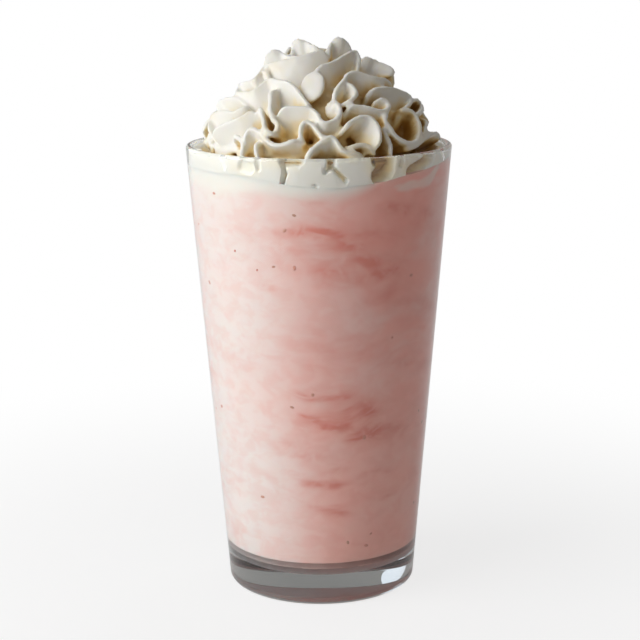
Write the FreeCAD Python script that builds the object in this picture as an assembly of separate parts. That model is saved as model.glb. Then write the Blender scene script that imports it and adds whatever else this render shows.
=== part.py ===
"""A strawberry milkshake in a conical pint glass, topped with a dome of piped, ruffled whipped cream.

Millimetres. +Z is up, and the origin is the middle of the glass's foot, on the surface that it stands on.
The glass, the milkshake and the whipped cream are three solids that meet face to face.
"""

import FreeCAD, Part
from FreeCAD import Vector
import math
import os

# The glass
GLASS_HEIGHT = 152.0
RIM_RADIUS = 44.5  # outside, at the top
FOOT_RADIUS = 32.0  # outside, where the line of the wall meets the table
LIP_WALL = 2.4  # thickness of the wall at the lip, which is fully rounded
FLOOR_WALL = 3.4  # thickness of the wall just above the floor
FLOOR_THICKNESS = 10.0
FLOOR_CORNER_RADIUS = 5.0  # inside, between the floor and the wall
HEEL_RADIUS = 2.0  # outside, between the wall and the foot
PUNT_RADIUS = 24.0  # the shallow hollow under the foot
PUNT_DEPTH = 1.2

# The milkshake and the whipped cream
CREAM_BELOW_RIM = 10.0  # how deep the cream's underside lies under the rim
CREAM_SEAT_BELOW_RIM = 2.4  # where the cream leaves the wall, under the lip's rounding
CREAM_ABOVE_RIM = 36.0
CREAM_INSET = 0.4  # from the wall to the cream's ruffles, at the lip
DOME_FULLNESS = 1.45  # 2 is an ellipse, and 1 is a cone
DOME_TIP_RADIUS = 3.0  # the small flat on which the piping ends

# The ruffles of the cream
RUFFLE_PERIOD = 19.0  # the pattern repeats over this length
RUFFLE_DEPTH = 5.5
RIDGE_SHARPNESS = 2.0  # a higher number gives thinner ridges
SPIRAL_LEAN = 0.55  # how far the rows of ruffles lean into a spiral
FADE_RINGS = 6  # the ruffles fade out over so many rings below the tip
RINGS = 40
POINTS_PER_RING = 132
DEGREE = 3  # of the smooth patch that carries the ruffles

# Where the pieces meet
CREAM_UNDERSIDE = GLASS_HEIGHT - CREAM_BELOW_RIM
CREAM_SEAT = GLASS_HEIGHT - CREAM_SEAT_BELOW_RIM
DOME_HEIGHT = CREAM_ABOVE_RIM + CREAM_SEAT_BELOW_RIM
UP = Vector(0, 0, 1)
FINE = 1e-4  # closer than this counts as the same place


def outer_radius(z):
    """The outside of the glass's wall at height z."""
    return FOOT_RADIUS + (RIM_RADIUS - FOOT_RADIUS) * z / GLASS_HEIGHT


def inner_radius(z):
    """The inside of the glass's wall at height z, which thins evenly from the floor to the lip."""
    at_floor = outer_radius(FLOOR_THICKNESS) - FLOOR_WALL
    at_rim = RIM_RADIUS - LIP_WALL
    share = (z - FLOOR_THICKNESS) / (GLASS_HEIGHT - FLOOR_THICKNESS)
    return at_floor + (at_rim - at_floor) * share


def turned(edges):
    """The solid that a closed outline in the XZ plane makes when it turns round the Z axis."""
    return Part.Face(Part.Wire(edges)).revolve(Vector(0, 0, 0), UP, 360)


def line(a, b):
    return Part.makeLine(Vector(a[0], 0, a[1]), Vector(b[0], 0, b[1]))


def arc(a, through, b):
    points = [Vector(p[0], 0, p[1]) for p in (a, through, b)]
    return Part.Arc(*points).toShape()


def rounded_ring(solid, radius_of_ring, z, rounding):
    """The solid with its sharp round edge of that radius, at height z, rounded."""
    rings = [edge for edge in solid.Edges if not edge.Degenerated and isinstance(edge.Curve, Part.Circle)]
    middle = UP * z
    sharp = [
        ring
        for ring in rings
        if abs(ring.Curve.Radius - radius_of_ring) < FINE and ring.Curve.Center.distanceToPoint(middle) < FINE
    ]
    return solid.makeFillet(rounding, sharp)


def filling(top):
    """What fills the glass from its floor up to the height top."""
    floor_edge = (inner_radius(FLOOR_THICKNESS), FLOOR_THICKNESS)
    brim = (inner_radius(top), top)
    sides = [
        line((0, FLOOR_THICKNESS), floor_edge),
        line(floor_edge, brim),
        line(brim, (0, top)),
        line((0, top), (0, FLOOR_THICKNESS)),
    ]
    return rounded_ring(turned(sides), *floor_edge, FLOOR_CORNER_RADIUS)


def make_glass():
    """The glass: a thick floor with a shallow hollow under it, a wall that thins upwards, and a round lip."""
    punt_crown = (0, PUNT_DEPTH)
    punt_side = (PUNT_RADIUS * math.sin(math.pi / 4), PUNT_DEPTH * math.cos(math.pi / 4))
    punt_edge = (PUNT_RADIUS, 0)
    heel = (FOOT_RADIUS, 0)
    shoulder = GLASS_HEIGHT - LIP_WALL / 2
    lip_outside = (outer_radius(shoulder), shoulder)
    lip_inside = (inner_radius(shoulder), shoulder)
    crest = ((lip_outside[0] + lip_inside[0]) / 2, GLASS_HEIGHT)
    floor_edge = (inner_radius(FLOOR_THICKNESS), FLOOR_THICKNESS)
    floor_middle = (0, FLOOR_THICKNESS)
    sides = [
        arc(punt_crown, punt_side, punt_edge),
        line(punt_edge, heel),
        line(heel, lip_outside),
        arc(lip_outside, crest, lip_inside),
        line(lip_inside, floor_edge),
        line(floor_edge, floor_middle),
        line(floor_middle, punt_crown),
    ]
    glass = rounded_ring(turned(sides), *heel, HEEL_RADIUS)
    return rounded_ring(glass, *floor_edge, FLOOR_CORNER_RADIUS)


def make_milkshake():
    return filling(CREAM_UNDERSIDE)


def ridge(point):
    """How far the cream stands up at a point, from 0 in a groove to 1 on the edge of a ruffle.

    The edges follow a labyrinth of three crossed waves, which meanders as ruffled ribbons do.
    """
    turn = 2 * math.pi / RUFFLE_PERIOD
    x, y = point.x * turn, point.y * turn
    z = (point.z + SPIRAL_LEAN * point.x) * turn
    wave = math.sin(x) * math.cos(y) + math.sin(y) * math.cos(z) + math.sin(z) * math.cos(x)
    return math.exp(-RIDGE_SHARPNESS * wave * wave)


def dome_point(climb, angle, foot_radius):
    """A point on the ruffled dome. climb goes from 0 at the lip to 1 at the tip."""
    last = math.acos((DOME_TIP_RADIUS / foot_radius) ** (DOME_FULLNESS / 2))
    turn = climb * last
    radius = foot_radius * math.cos(turn) ** (2 / DOME_FULLNESS)
    height = DOME_HEIGHT * math.sin(turn) ** (2 / DOME_FULLNESS)
    outward = Vector(math.cos(angle), math.sin(angle), 0)
    crest = outward * radius + UP * (CREAM_SEAT + height)
    normal = outward * math.cos(turn) + UP * math.sin(turn)
    if climb == 0:
        normal = outward  # the lowest ring stays level, on the cream's seat
    fade = min(1.0, (1 - climb) * RINGS / FADE_RINGS)
    return crest - normal * RUFFLE_DEPTH * fade * (1 - ridge(crest))


def dome_skin():
    """The ruffled surface of the cream above the glass: a cubic patch from lip to tip, closed all round."""
    foot_radius = inner_radius(CREAM_SEAT) - CREAM_INSET
    angles = [2 * math.pi * step / POINTS_PER_RING for step in range(POINTS_PER_RING)]
    poles = [
        [dome_point(ring / RINGS, angle, foot_radius) for angle in angles]
        for ring in range(RINGS + 1)
    ]
    spans = RINGS + 1 - DEGREE
    patch = Part.BSplineSurface()
    patch.buildFromPolesMultsKnots(
        poles,
        [DEGREE + 1] + [1] * (spans - 1) + [DEGREE + 1],
        [1] * (POINTS_PER_RING + 1),
        list(range(spans + 1)),
        list(range(POINTS_PER_RING + 1)),
        False,
        True,
        DEGREE,
        DEGREE,
    )
    return patch.toShape()


def ring_edge(skin, lowest):
    """The skin's lowest or highest closed edge."""
    rings = [edge for edge in skin.Edges if edge.isClosed()]
    pick = min if lowest else max
    return pick(rings, key=lambda edge: edge.CenterOfMass.z)


def make_whipped_cream():
    skin = dome_skin()
    seat_circle = Part.makeCircle(inner_radius(CREAM_SEAT), UP * CREAM_SEAT)
    seat_wires = [Part.Wire(seat_circle), Part.Wire(ring_edge(skin, True))]
    seat = Part.Face(seat_wires, "Part::FaceMakerBullseye")
    tip = Part.Face(Part.Wire(ring_edge(skin, False)))
    underside_circle = Part.makeCircle(inner_radius(CREAM_UNDERSIDE), UP * CREAM_UNDERSIDE)
    underside = Part.Face(Part.Wire(underside_circle))
    side = Part.makeCone(
        inner_radius(CREAM_UNDERSIDE),
        inner_radius(CREAM_SEAT),
        CREAM_SEAT - CREAM_UNDERSIDE,
        UP * CREAM_UNDERSIDE,
    )
    wall = max(side.Faces, key=lambda face: face.BoundBox.ZLength)
    shell = Part.makeShell([skin, seat, tip, underside, wall])
    shell.sewShape()
    cream = Part.makeSolid(Part.Shell(shell.Faces))
    if cream.Volume < 0:
        cream.reverse()
    return cream


def main():
    os.makedirs("parts", exist_ok=True)
    pieces = {
        "glass": make_glass(),
        "milkshake": make_milkshake(),
        "whipped_cream": make_whipped_cream(),
    }
    for name, piece in pieces.items():
        piece.exportStep(f"parts/{name}.step")
        box = piece.BoundBox
        print(
            f"{name}: valid {piece.isValid()}, {len(piece.Solids)} solid, {piece.Volume / 1000:.1f} ml,"
            f" {box.XLength:.1f} x {box.YLength:.1f} x {box.ZLength:.1f}, from z {box.ZMin:.1f}"
        )


main()
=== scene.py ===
# %% [markdown]
# # A strawberry milkshake under piped cream
#
# The solids of the glass, the drink and the cream are ready at their real size. This lesson gives each of
# them a finer piece and a finish: clear glass with a thick foot, a drink with streaks and seeds of
# strawberry, and ruffled ribbons of whipped cream.

# %% Load the solids
import math
import random

import bmesh
import bpy
from mathutils import Matrix, Vector, noise
from mathutils.bvhtree import BVHTree


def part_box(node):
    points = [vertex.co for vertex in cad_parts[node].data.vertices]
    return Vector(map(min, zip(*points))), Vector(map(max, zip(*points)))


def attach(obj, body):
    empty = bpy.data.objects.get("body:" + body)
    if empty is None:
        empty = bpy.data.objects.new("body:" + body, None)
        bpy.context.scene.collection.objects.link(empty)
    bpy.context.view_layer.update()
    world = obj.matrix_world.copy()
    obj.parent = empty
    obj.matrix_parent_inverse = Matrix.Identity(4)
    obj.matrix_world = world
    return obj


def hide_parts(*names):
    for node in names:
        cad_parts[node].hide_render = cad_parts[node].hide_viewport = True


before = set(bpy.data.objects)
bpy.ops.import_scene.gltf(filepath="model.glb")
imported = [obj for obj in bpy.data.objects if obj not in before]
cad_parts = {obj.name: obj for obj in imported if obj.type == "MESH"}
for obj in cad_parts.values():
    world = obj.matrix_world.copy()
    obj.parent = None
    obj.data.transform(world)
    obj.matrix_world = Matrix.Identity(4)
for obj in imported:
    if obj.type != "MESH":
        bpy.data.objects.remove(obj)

noise.seed_set(4)  # the vector noise takes its place from the clock, unless it is seeded
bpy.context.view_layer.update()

# %% [markdown]
# ## Sizes
#
# A Blender unit is a metre, so small sizes are written as so many millimetres. Heights come from the solids'
# own boxes. The slopes of the wall can't be read from a box, so the few sizes that shape it are named here.

# %% Sizes of the glass
MM = 0.001
LIP_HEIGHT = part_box("glass")[1][2]
FLOOR_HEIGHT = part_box("milkshake")[0][2]
CREAM_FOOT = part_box("whipped_cream")[0][2]
CREAM_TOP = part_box("whipped_cream")[1][2]
LIP_RADIUS = 44.5 * MM
FOOT_RADIUS = 32 * MM
LIP_WALL = 2.4 * MM
FLOOR_WALL = 3.4 * MM
UP = Vector((0, 0, 1))


def outer_radius(height):
    """The outside of the glass's wall."""
    return FOOT_RADIUS + (LIP_RADIUS - FOOT_RADIUS) * height / LIP_HEIGHT


def inner_radius(height):
    """The inside of the glass's wall, which is thickest at the floor."""
    at_floor = outer_radius(FLOOR_HEIGHT) - FLOOR_WALL
    at_lip = LIP_RADIUS - LIP_WALL
    share = (height - FLOOR_HEIGHT) / (LIP_HEIGHT - FLOOR_HEIGHT)
    return at_floor + (at_lip - at_floor) * share


print(f"wall: {FLOOR_WALL / MM} mm at the floor, {LIP_WALL / MM} mm at the lip, {LIP_HEIGHT / MM:.0f} mm up")

# %% [markdown]
# ## The camera
#
# A long lens from a little above the lip keeps the sides of the glass almost straight and shows the lip as a
# narrow ellipse. The camera stands where a guest's eye would be, and leans by a hair.

# %% Place the camera
EYE_DISTANCE = 0.586
EYE_PITCH = math.radians(14.05)  # from the middle of the glass, how far above the horizon the eye is
AIM_DOWN = math.radians(12.60)  # the camera looks down less than that, so the glass stands low in the frame
LEAN = math.radians(0.4)
SENSOR_WIDTH = 36  # sensors and lenses are always in millimetres
FOCAL_LENGTH = 95.7
glass_middle = UP * LIP_HEIGHT / 2
eye = glass_middle + EYE_DISTANCE * Vector((0, -math.cos(EYE_PITCH), math.sin(EYE_PITCH)))


def linked(name, data):
    """A new object with that data, put in the scene."""
    thing = bpy.data.objects.new(name, data)
    bpy.context.collection.objects.link(thing)
    return thing


lens = bpy.data.cameras.new("camera")
lens.sensor_width = SENSOR_WIDTH
lens.lens = FOCAL_LENGTH
lens.clip_start = 10 * MM
camera = linked("camera", lens)
camera.matrix_world = (
    Matrix.Translation(eye)
    @ Matrix.Rotation(math.pi / 2 - AIM_DOWN, 4, "X")
    @ Matrix.Rotation(-LEAN, 4, "Z")
)
bpy.context.scene.camera = camera
print("the camera stands at", tuple(round(c, 3) for c in eye))

# %% [markdown]
# ## Light and background
#
# One large soft lamp on the left does most of the work, as a window does. A weak one on the right keeps the
# shaded side readable, and small ones behind and above draw the edges. Each looks at the middle of the glass.

# %% Lamps
def soft_lamp(name, place, width, height, watts, colour=(1, 1, 1), shape="RECTANGLE"):
    """A lamp with a shining face of that size."""
    data = bpy.data.lights.new(name, "AREA")
    data.shape = shape
    data.size, data.size_y = width, height
    data.energy = watts
    data.color = colour
    lamp = linked(name, data)
    lamp.location = place
    lamp.rotation_euler = (glass_middle - lamp.location).to_track_quat("-Z", "Y").to_euler()
    print(f"{name}: {watts} W, {width} by {height} m")


soft_lamp("key_lamp", (-0.84, -0.40, 0.56), 0.85, 1.0, 9.7)
soft_lamp("back_lamp", (-0.62, 0.74, 0.32), 0.42, 0.5, 0.8, (0.85, 0.92, 1.0), "ELLIPSE")
soft_lamp("fill_lamp", (0.9, -0.9, 0.16), 0.8, 0.3, 0.42, (1.0, 0.88, 0.82))
soft_lamp("top_lamp", (0.30, 0.50, 0.95), 0.35, 0.35, 0.9, (0.92, 0.96, 1.0))

# %% [markdown]
# A finish is a tree of nodes, and so is the world. Each helper here adds one node and hands back what comes
# out of it, so a finish can be read from top to bottom like a recipe.

# %% Helpers for nodes
WHITE = (1, 1, 1, 1)


def empty_tree(thing):
    """The node tree of a material or a world, with nothing in it."""
    thing.use_nodes = True
    thing.node_tree.nodes.clear()
    return thing.node_tree


def add(tree, kind, inputs=None, **settings):
    """A node of that kind, with some settings and some input values or links."""
    node = tree.nodes.new("ShaderNode" + kind)
    for name, value in settings.items():
        setattr(node, name, value)
    for name, value in (inputs or {}).items():
        if isinstance(value, bpy.types.NodeSocket):
            tree.links.new(value, node.inputs[name])
        else:
            node.inputs[name].default_value = value
    return node


def calculated(tree, operation, *values):
    """What a Math node makes of those values."""
    return add(tree, "Math", dict(enumerate(values)), operation=operation).outputs[0]


def blended(tree, share, first, second):
    """A colour between the two, by a share from 0 to 1."""
    return add(tree, "Mix", {0: share, 6: first, 7: second}, data_type="RGBA").outputs[2]


def ramp(tree, value, low, high, to_low=0.0, to_high=1.0):
    """A soft step from to_low to to_high, while the value goes from low to high."""
    inputs = {"Value": value, "From Min": low, "From Max": high, "To Min": to_low, "To Max": to_high}
    return add(tree, "MapRange", inputs, interpolation_type="SMOOTHSTEP").outputs[0]


def place_on(tree):
    """Object coordinates, so that a pattern stays where it is on its piece."""
    return add(tree, "TexCoord").outputs["Object"]


print("helpers for nodes: empty_tree, add, calculated, blended, ramp and place_on")

# %% [markdown]
# The world is white to the eye and lights the drink only softly. Light Path tells the two apart. What is seen
# in glass is a little greyer, which draws the edges of a clear glass as a bright room does.

# %% The world
WORLD_LIGHT = 0.12
WARM_LIGHT = (1.0, 0.93, 0.82, 1)
SEEN_IN_GLASS = 0.45


def seen_directly(tree):
    """1 for what the eye sees, less for what it sees in glass, and 0 for what only lights something."""
    path = add(tree, "LightPath").outputs
    in_glass = calculated(tree, "MAXIMUM", path["Is Transmission Ray"], path["Is Glossy Ray"])
    in_glass = calculated(tree, "MULTIPLY", in_glass, SEEN_IN_GLASS)
    return calculated(tree, "MAXIMUM", in_glass, path["Is Camera Ray"])


world = bpy.data.worlds.new("studio")
bpy.context.scene.world = world
tree = empty_tree(world)
strength = add(tree, "Mix", {0: seen_directly(tree), 2: WORLD_LIGHT, 3: 1.0}, data_type="FLOAT")
colour = blended(tree, seen_directly(tree), WARM_LIGHT, WHITE)
background = add(tree, "Background", {"Color": colour, "Strength": strength.outputs[0]})
add(tree, "OutputWorld", {"Surface": background.outputs[0]})
bpy.context.scene.view_settings.view_transform = "Standard"
print(f"a white world, which lights with a strength of {WORLD_LIGHT}")

# %% [markdown]
# The floor is one wide sheet. To the eye it glows as white as the world, a little less round the foot, and to
# the lamps it is matt paint, which takes the shadow of the glass.

# %% The floor
FLOOR_HALF_WIDTH = 6
FLOOR_DROP = 0.05 * MM  # a breath of air under the foot, so that the glass and the floor don't share a face
FLOOR_GREY = (0.86, 0.86, 0.86, 1)
GLOW_BY_THE_FOOT = 0.78
GLOW_GROWS = (0.04, 0.30)  # the floor reaches full white between these distances from the middle


def as_mesh(shell, name):
    """The bmesh as a mesh of that name. The bmesh is let go."""
    data = bpy.data.meshes.new(name)
    shell.to_mesh(data)
    shell.free()
    return data


table_mesh = bmesh.new()
bmesh.ops.create_grid(table_mesh, x_segments=1, y_segments=1, size=FLOOR_HALF_WIDTH,
                      matrix=Matrix.Translation(-UP * FLOOR_DROP))
floor = linked("floor", as_mesh(table_mesh, "floor"))
floor_paint = bpy.data.materials.new("floor_paint")
tree = empty_tree(floor_paint)
matt = add(tree, "BsdfDiffuse", {"Color": FLOOR_GREY})
glow = add(tree, "Emission", {"Color": WHITE, "Strength": 1.0})
away = add(tree, "VectorMath", {0: place_on(tree)}, operation="LENGTH").outputs["Value"]
glows = ramp(tree, away, *GLOW_GROWS, GLOW_BY_THE_FOOT, 1.0)
share = calculated(tree, "MULTIPLY", seen_directly(tree), glows)
both = add(tree, "MixShader", {0: share, 1: matt.outputs[0], 2: glow.outputs[0]})
add(tree, "OutputMaterial", {"Surface": both.outputs[0]})
floor.data.materials.append(floor_paint)
print(f"a floor {2 * FLOOR_HALF_WIDTH} m wide")

# %% [markdown]
# ## Turned pieces
#
# Glass and drink are both round, so a half outline spun about the upright axis makes them. The outline has
# sharp corners, and bevels round them afterwards, ring by ring, as a glassmaker fire-polishes an edge.

# %% Helpers for turned pieces
STEPS_ROUND = 256
SAME_PLACE = 0.01 * MM


def turned(outline):
    """A closed shell from half an outline, as (radius, height) pairs that start and end on the axis."""
    shell = bmesh.new()
    corners = [shell.verts.new((radius, 0, height)) for radius, height in outline]
    edges = [shell.edges.new(pair) for pair in zip(corners, corners[1:])]
    bmesh.ops.spin(shell, geom=corners + edges, cent=(0, 0, 0), axis=UP, angle=2 * math.pi,
                   steps=STEPS_ROUND, use_merge=True)
    bmesh.ops.remove_doubles(shell, verts=shell.verts, dist=0.001 * MM)
    bmesh.ops.recalc_face_normals(shell, faces=shell.faces)
    return shell


def ring_of(shell, radius, height):
    """The ring of edges that lies at that radius and height."""
    def on_ring(vertex):
        off = vertex.co.xy.length - radius, vertex.co.z - height
        return abs(off[0]) < SAME_PLACE and abs(off[1]) < SAME_PLACE

    return [edge for edge in shell.edges if all(on_ring(vertex) for vertex in edge.verts)]


def round_off(shell, radius, height, rounding, segments=8):
    """Rounds the ring edge that lies at that radius and height."""
    bmesh.ops.bevel(shell, geom=ring_of(shell, radius, height), offset=rounding, offset_type="OFFSET",
                    affect="EDGES", segments=segments, profile=0.5, material=-1)


def even_normals(piece):
    """Lets the large faces set the shading, so that a rounding doesn't bend the light beside it."""
    even = piece.modifiers.new("even_normals", "WEIGHTED_NORMAL")
    even.weight = 100
    even.keep_sharp = True


def finished(shell, name, node=None):
    """The bmesh as an object at the origin that rides with the part and, where asked, stands for a solid."""
    piece = linked(name, as_mesh(shell, name))
    faces = piece.data.polygons
    faces.foreach_set("use_smooth", [True] * len(faces))
    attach(piece, "root")
    if node:
        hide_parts(node)
    print(f"{name}: {len(faces)} faces")
    return piece


# %% [markdown]
# ## The glass
#
# A conical glass with a heavy foot. The underside is hollowed a little, so it stands on a ring and doesn't
# rock, and the lip is fully round. The wall is real: light bends through its outside and its inside.

# %% Turn the glass
HEEL_ROUNDING = 2 * MM
FLOOR_ROUNDING = 5 * MM
PUNT_RADIUS = 24 * MM
PUNT_DEPTH = 1.2 * MM
LIP_ROUNDING = 0.46 * LIP_WALL
LIP_SEGMENTS = 10
PUNT_POINTS = 9

punt = [
    (PUNT_RADIUS * math.sin(turn), PUNT_DEPTH * math.cos(turn))
    for turn in (math.pi / 2 * step / (PUNT_POINTS - 1) for step in range(PUNT_POINTS))
]
heel = (FOOT_RADIUS, 0)
lip_outside = (outer_radius(LIP_HEIGHT), LIP_HEIGHT)
lip_inside = (inner_radius(LIP_HEIGHT), LIP_HEIGHT)
floor_corner = (inner_radius(FLOOR_HEIGHT), FLOOR_HEIGHT)
shell = turned(punt + [heel, lip_outside, lip_inside, floor_corner, (0, FLOOR_HEIGHT)])
round_off(shell, *heel, HEEL_ROUNDING)
round_off(shell, *lip_outside, LIP_ROUNDING, LIP_SEGMENTS)
round_off(shell, *lip_inside, LIP_ROUNDING, LIP_SEGMENTS)
round_off(shell, *floor_corner, FLOOR_ROUNDING)
glass = finished(shell, "pint_glass", "glass")
even_normals(glass)

# %% [markdown]
# ## The milkshake
#
# The drink touches the glass everywhere, so its skin lies a hair inside the wall and no gap of air shows. Its
# upper edge isn't quite level, because the cream was pressed into it from one side.

# %% Turn the milkshake
INTO_WALL = 0.15 * MM
INTO_CREAM = 0.6 * MM
SHAKE_RINGS = 120
SHAKE_RISE = 6.3 * MM  # the drink stands so much higher at the right than in the middle
FOAM_RISE = 3.4 * MM  # and its foam so much higher at the left
SHAKE_WAVE = 0.5 * MM
CALM_SHARE = 0.9  # up to this share of its height, the drink stays as it was turned


def clamped(value, low=0.0, high=1.0):
    """The value, but never under low or over high."""
    return min(high, max(low, value))


def eased(share):
    """The share with a soft start and a soft end."""
    return share * share * (3 - 2 * share)


bottom = FLOOR_HEIGHT - INTO_WALL
corner = (inner_radius(bottom) + INTO_WALL, bottom)
shake_top = CREAM_FOOT + INTO_CREAM
wall_heights = [bottom + (shake_top - bottom) * (ring + 1) / SHAKE_RINGS for ring in range(SHAKE_RINGS)]
wall = [(inner_radius(height) + INTO_WALL, height) for height in wall_heights]
shell = turned([(0, bottom), corner] + wall + [(0, shake_top)])
round_off(shell, *corner, FLOOR_ROUNDING)
for edge in ring_of(shell, *wall[-1]):
    edge.smooth = False  # so that the wall is shaded as a wall right up to its edge
for vertex in shell.verts:
    share = max(0.0, (vertex.co.z / shake_top - CALM_SHARE) / (1 - CALM_SHARE))
    bearing = math.atan2(vertex.co.x, -vertex.co.y)
    ripple = noise.noise(Vector((math.cos(bearing), math.sin(bearing), 0)) * 4)
    right = max(0.0, 1.05 * vertex.co.x / LIP_RADIUS)
    left = clamped(-1.6 * vertex.co.x / LIP_RADIUS)
    rise = SHAKE_RISE * right * right + FOAM_RISE * eased(left)
    vertex.co.z += share * (rise + SHAKE_WAVE * ripple)
    reach = inner_radius(vertex.co.z) + INTO_WALL
    if vertex.co.xy.length > 0.98 * reach and share > 0:
        on_wall = vertex.co.xy.normalized() * reach
        vertex.co.x, vertex.co.y = on_wall
print(f"{SHAKE_RINGS} rings, up to {max(v.co.z for v in shell.verts) / MM:.1f} mm")

# %% [markdown]
# Crushed strawberry colours the drink in soft, flat strokes. Each stroke is a short route on the skin, given
# by bearings from the front and heights, and the strength with which it colours a point fades with the
# distance. The front's strokes are listed, and those at the sides and the back come from a seeded dice.

# %% Strokes of fruit
STROKES = [  # half thickness in mm, strength, and the route as bearings in degrees and heights in mm
    (2.4, 1.0, [(-19, 129.5), (-8, 129), (4, 127.8)]),
    (3.0, 0.7, [(4, 127.8), (13, 124.5), (22, 121), (33, 115)]),
    (5.5, 0.35, [(-17, 122), (5, 120), (22, 117)]), (1.2, 0.8, [(5, 114), (16, 113), (28, 112.5)]),
    (2.2, 0.5, [(-9, 116), (3, 114.5)]), (1.8, 0.6, [(26, 117), (31, 115.5)]),
    (1.8, 0.6, [(30, 135.5), (43, 133)]), (2.0, 0.8, [(46, 133), (56, 131)]),
    (1.0, 0.7, [(-27, 110), (-23, 110)]), (1.2, 0.6, [(2, 110.5), (9, 110.5)]),
    (4.5, 0.5, [(38, 104), (58, 100), (75, 97)]), (3.0, 0.5, [(46, 84), (72, 79)]),
    (5.0, 0.35, [(-4, 92), (16, 90)]), (2.6, 0.8, [(-5, 74), (8, 72), (22, 69)]),
    (2.0, 0.7, [(-8, 66.5), (10, 63)]), (5.0, 0.45, [(5, 64), (25, 62), (43, 60)]),
    (1.6, 0.8, [(14, 67.5), (31, 66)]), (1.6, 0.9, [(20, 59.5), (31, 58.5)]),
    (2.0, 0.6, [(33, 60.5), (39, 60)]), (2.6, 0.7, [(-19, 56), (-6, 53)]), (1.6, 0.8, [(-8, 44), (3, 42.5)]),
    (0.9, 0.8, [(-3, 43.5), (10, 42.5), (21, 42.5)]), (1.1, 0.7, [(22, 44.5), (30, 46), (37, 45.5)]),
    (1.5, 0.7, [(-6, 35), (3, 33.5), (13, 33.5)]), (1.2, 0.5, [(41, 36.5), (48, 36.5)]),
    (1.0, 0.6, [(5, 48.3), (12, 48)]), (3.0, 0.3, [(-48, 130), (-34, 128)]),
    (2.4, 0.3, [(-52, 84), (-38, 81)]), (2.0, 0.3, [(-40, 47), (-30, 46)]),
    (1.6, 0.5, [(20, 128), (34, 127)]),
]
DICED_STROKES = 60
STROKE_WANDER = 2.2 * MM
STROKE_REACH = 16 * MM  # a stroke's colour is never looked for further than this above or below it
STROKE_LENGTHENED = 0.45  # sideways distances count less, which draws the strokes out


def in_metres(thick, strength, route):
    """The same stroke in metres and radians."""
    return thick * MM, strength, [(math.radians(bearing), height * MM) for bearing, height in route]


chance = random.Random(8)
strokes = [in_metres(*stroke) for stroke in STROKES]
for _ in range(DICED_STROKES):
    bearing, height = chance.uniform(80, 280), chance.uniform(16, 136)
    reach, slope = chance.uniform(5, 26), chance.uniform(-0.25, 0.12)
    route = [(bearing + reach * step / 2, height + slope * reach * step / 2) for step in range(3)]
    thick = chance.uniform(0.9, 3.4)
    strokes.append(in_metres(thick, chance.uniform(0.4, 0.9), route))
print(f"{len(strokes)} strokes, {DICED_STROKES} of them from the dice")

# %% Colour the skin with the strokes
def off_line(across, up, line_across, line_up):
    """The way to a point from the nearest place on a line, which starts at the origin."""
    share = (across * line_across + up * line_up) / (line_across * line_across + line_up * line_up)
    share = clamped(share)
    return across - share * line_across, up - share * line_up


def strength_at(bearing, height, strokes):
    """How strongly the strokes colour a place on the skin, from 0 to 1."""
    radius = inner_radius(height)
    total = 0.0
    for thick, strength, route in strokes:
        if abs(height - route[0][1]) > 3 * thick + STROKE_REACH:
            continue
        nearest = math.inf
        for (b1, h1), (b2, h2) in zip(route, route[1:]):
            across = math.remainder(bearing - b1, 2 * math.pi) * radius
            off_across, off_up = off_line(across, height - h1, (b2 - b1) * radius, h2 - h1)
            nearest = min(nearest, math.hypot(off_across * STROKE_LENGTHENED, off_up))
        total += strength * math.exp(-((nearest / thick) ** 2))
    return min(1.0, total)


FROTH_LINE = [in_metres(1.5, 1.0, [(41, 141), (52, 142.8), (65, 146.5)])]
fruit = shell.verts.layers.float.new("fruit")
froth = shell.verts.layers.float.new("froth")
for vertex in shell.verts:
    place = vertex.co.copy()
    if place.xy.length < 0.5 * LIP_RADIUS:
        continue
    place.z *= 1.6
    wander = noise.noise_vector(place * 70) * 0.8 + noise.noise_vector(place * 190) * 0.45
    bearing = math.atan2(place.x, -place.y) + wander.x * 2 * STROKE_WANDER / LIP_RADIUS
    height = vertex.co.z + wander.z * STROKE_WANDER
    place.z *= 1.8
    breaks = clamped(0.8 + 1.2 * noise.noise(place * 110), 0.25, 1.3)
    vertex[fruit] = min(1.0, strength_at(bearing, height, strokes) * breaks)
    vertex[froth] = strength_at(bearing, height, FROTH_LINE)
print(f"strongest colour of the strokes: {max(vertex[fruit] for vertex in shell.verts):.2f}")
milkshake = finished(shell, "strawberry_shake", "milkshake")

# %% [markdown]
# ## The whipped cream
#
# A star nozzle squeezes the cream into a rope with deep fins, and the fins buckle into ruffles as the rope is
# coiled. Each fin is a ribbon here: a grid whose upper edge follows a wandering route on a dome, and whose
# lower edge is sunk in the cream. All ribbons and a plain core are then melted into one skin.
#
# Where the eye looks first, the routes are listed one by one, as a cook would pipe them. They are written as
# seen from the front: so many millimetres across and up, measured from the front edge of the lip, on a board
# that stands in the middle of the glass and faces the eye.

# %% The dome that the ribbons lie on
DOME_RADIUS = 40.5 * MM
DOME_HEIGHT = CREAM_TOP - LIP_HEIGHT - 1.2 * MM
DOME_FULLNESS = 1.4  # 2 is an ellipse, and 1 is a cone
FRONT_LIP_DROP = 4.8 * MM  # on the board, the lip's front edge lies so far under its middle
SEARCH_REACH = 60 * MM  # how far before and behind the board the dome is looked for
SEARCH_STEP = 1 * MM
lip_middle = UP * LIP_HEIGHT
board_up = Vector((0, math.sin(EYE_PITCH), math.cos(EYE_PITCH)))


def depth_in_dome(point, lift=0.0):
    """Below 0 inside the dome, 0 on it, above 0 outside, in shares of its radius."""
    radius = math.hypot(point.x, point.y) / (DOME_RADIUS + lift)
    height = (point.z - LIP_HEIGHT) / (DOME_HEIGHT + lift)
    if height < 0:
        return radius - 1
    return (radius**DOME_FULLNESS + height**DOME_FULLNESS) ** (1 / DOME_FULLNESS) - 1


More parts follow.
